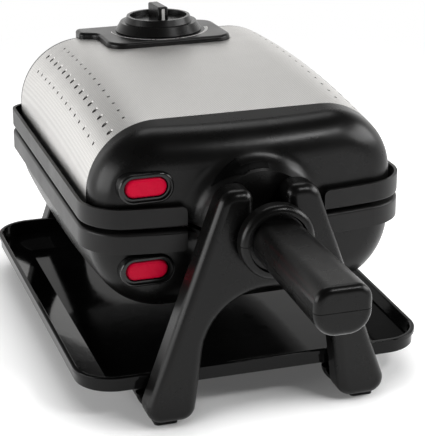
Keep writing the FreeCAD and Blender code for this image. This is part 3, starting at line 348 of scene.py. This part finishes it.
def pointer_strip():
    """A strip up the front of the knob's bar."""
    place = DIAL_FRAME @ Matrix.Rotation(math.radians(POINTER_TURN), 4, "Z")
    foot = ((-POINTER_HALF, POINTER_FRONT), (POINTER_HALF, POINTER_FRONT),
            (POINTER_HALF, POINTER_BACK), (-POINTER_HALF, POINTER_BACK))
    vertices, faces = ribbon([[place @ Vector((u, v, level)) for u, v in foot]
                              for level in (POINTER_BOTTOM, POINTER_TOP)])
    mesh = bpy.data.meshes.new("dial_pointer")
    mesh.from_pydata(vertices, [], faces)
    return mesh


def arrow_side(side):
    """Points from tail to tip along the outer (1) or inner (-1) side of an arrow bent round the turning axis."""
    points = []
    for start, end, radius, first_width, last_width in (
            (ARROW_TAIL, ARROW_NECK, SHAFT_RADIUS, SHAFT_WIDTH, SHAFT_WIDTH),
            (ARROW_NECK, ARROW_TIP, HEAD_RADIUS, HEAD_WIDTH, 0.0)):
        for step in range(ARROW_STEPS + 1):
            turn = math.radians(between(start, end, step / ARROW_STEPS))
            reach = radius + side * between(first_width, last_width, step / ARROW_STEPS) / 2
            points.append((reach * math.sin(turn), AXIS_HEIGHT + reach * math.cos(turn)))
    return points


def cap_surface():
    cap = nodes["upper_front_cap"]
    shell = bmesh.new()
    shell.from_mesh(cap.data)
    shell.transform(cap.matrix_world)
    surface = BVHTree.FromBMesh(shell)
    shell.free()
    return surface


def hub_arrow():
    """The arrow's outline laid along +Y on the front cap and raised a little."""
    surface = cap_surface()
    shape = bmesh.new()
    outline = arrow_side(1) + arrow_side(-1)[-2::-1]  # back from the tip, which both sides share
    corners = [shape.verts.new((x * MM, ARROW_START * MM, z * MM)) for x, z in outline]
    bmesh.ops.triangulate(shape, faces=[shape.faces.new(corners)])
    for _ in range(ARROW_CUTS):
        bmesh.ops.subdivide_edges(shape, edges=shape.edges[:], cuts=1, use_grid_fill=True)
    bmesh.ops.triangulate(shape, faces=shape.faces[:])
    for vertex in shape.verts:
        vertex.co = surface.ray_cast(vertex.co, BACK)[0] + BACK * ARROW_SUNK * MM
    raised = bmesh.ops.extrude_face_region(shape, geom=shape.faces[:], use_keep_orig=True)
    bmesh.ops.translate(shape, vec=-BACK * ARROW_THICK * MM,
                        verts=[item for item in raised["geom"] if isinstance(item, bmesh.types.BMVert)])
    bmesh.ops.recalc_face_normals(shape, faces=shape.faces[:])
    mesh = bpy.data.meshes.new("hub_arrow")
    shape.to_mesh(mesh)
    shape.free()
    return mesh


def mark(name, mesh, material, body):
    mesh.materials.append(material)
    item = bpy.data.objects.new(name, mesh)
    scene.collection.objects.link(item)
    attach(item, body)


mark("dial_scale", dial_scale(), PRINT, "upper_half")
mark("dial_pointer", pointer_strip(), PRINT, "dial")
mark("hub_arrow", hub_arrow(), ARROW, "upper_half")


# Stage, light and camera

FLOOR_REACH = 9.0
FLOOR_DROP = 0.4 * MM
MIDDLE = (0.0, 0.0, 0.13)  # what the lamps point at
EYE = (-0.3677, -1.1319, 0.5625)
TARGET = (0.00267, 0.0181, 0.0984)
LENS, SENSOR = 138.6, 36.0
NEAREST = 0.01


def floor_paint():
    """Pale paint. Seen directly or mirrored it also glows, with a painted shadow: the glow is weaker where the
    part occludes the floor, and it turns white further out.
    """
    m = Maker("floor_pale", (0.86, 0.86, 0.86), 0.9, Specular_IOR_Level=0.1)
    plain = m.shader.outputs["BSDF"]
    rays = m.node("LightPath").outputs
    seen = m.combine("Math", "MAXIMUM", rays["Is Camera Ray"], rays["Is Glossy Ray"])
    seen = m.combine("Math", "MAXIMUM", seen, rays["Is Transmission Ray"])
    distance = m.combine("VectorMath", "LENGTH", m.place)
    fade = m.spread(distance, 0.0, 1.0, start=0.42, end=0.95, curve="SMOOTHSTEP")
    # Painted shadow: ambient occlusion turns the floor's glow down round and under the part.
    shade = m.node("AmbientOcclusion", Distance=0.08).outputs["AO"]
    glow_with_painted_shadow = m.node("Emission", Strength=m.spread(shade, 0.08, 0.74, start=0.4, end=0.95)).outputs["Emission"]
    white = m.node("Emission", Strength=1.0).outputs["Emission"]
    studio = m.blend("MixShader", fade, m.blend("AddShader", plain, glow_with_painted_shadow), white)
    m.feed(m.tree.nodes["Material Output"].inputs["Surface"], m.blend("MixShader", seen, plain, studio))
    return m.material


def stage_floor():
    mesh = bpy.data.meshes.new("floor")
    corners = ((-1, -1), (1, -1), (1, 1), (-1, 1))
    mesh.from_pydata([(x * FLOOR_REACH, y * FLOOR_REACH, 0.0) for x, y in corners], [], [(0, 1, 2, 3)])
    mesh.materials.append(floor_paint())
    floor = bpy.data.objects.new("floor", mesh)
    scene.collection.objects.link(floor)
    floor.location.z = -FLOOR_DROP


def world_light():
    """A pale surround that darkens upwards and towards the front."""
    world = bpy.data.worlds.new("studio")
    scene.world = world
    world.use_nodes = True
    surround = Shading(world.node_tree)
    sky = world.node_tree.nodes["Background"].inputs
    direction = surround.node("SeparateXYZ", Vector=surround.node("TexCoord").outputs["Generated"]).outputs
    surround.feed(sky["Color"], surround.ramp(direction["Z"], (1.0, 0.995, 0.985), (0.05, 0.05, 0.05), 0.2, 0.6))
    surround.feed(sky["Strength"], surround.spread(direction["Y"], 0.12, 1.36, start=-0.3, end=0.5))


def aim(item, place, target):
    scene.collection.objects.link(item)
    item.location = place
    item.rotation_euler = (Vector(target) - Vector(place)).to_track_quat("-Z", "Y").to_euler()


def softbox(name, place, width, height, power):
    lamp = bpy.data.lights.new(name, "AREA")
    lamp.shape = "RECTANGLE"
    lamp.size = width
    lamp.size_y = height
    lamp.energy = power
    aim(bpy.data.objects.new(name, lamp), place, MIDDLE)


def camera():
    data = bpy.data.cameras.new("camera")
    data.sensor_fit = "VERTICAL"
    data.sensor_height = SENSOR
    data.sensor_width = SENSOR
    data.lens = LENS
    data.clip_start = NEAREST
    scene.camera = bpy.data.objects.new("camera", data)
    aim(scene.camera, EYE, TARGET)


stage_floor()
world_light()
softbox("overhead", (0.2, 0.6, 1.3), width=0.9, height=0.5, power=3.4)
softbox("left_panel", (-1.19, -0.12, 0.36), width=1.0, height=0.6, power=9.5)
softbox("key", (0.68, -0.92, 1.25), width=0.45, height=0.22, power=7.0)
softbox("right_panel", (1.13, -0.3, 0.62), width=1.0, height=0.5, power=10.5)
camera()
scene.view_settings.view_transform = "Standard"
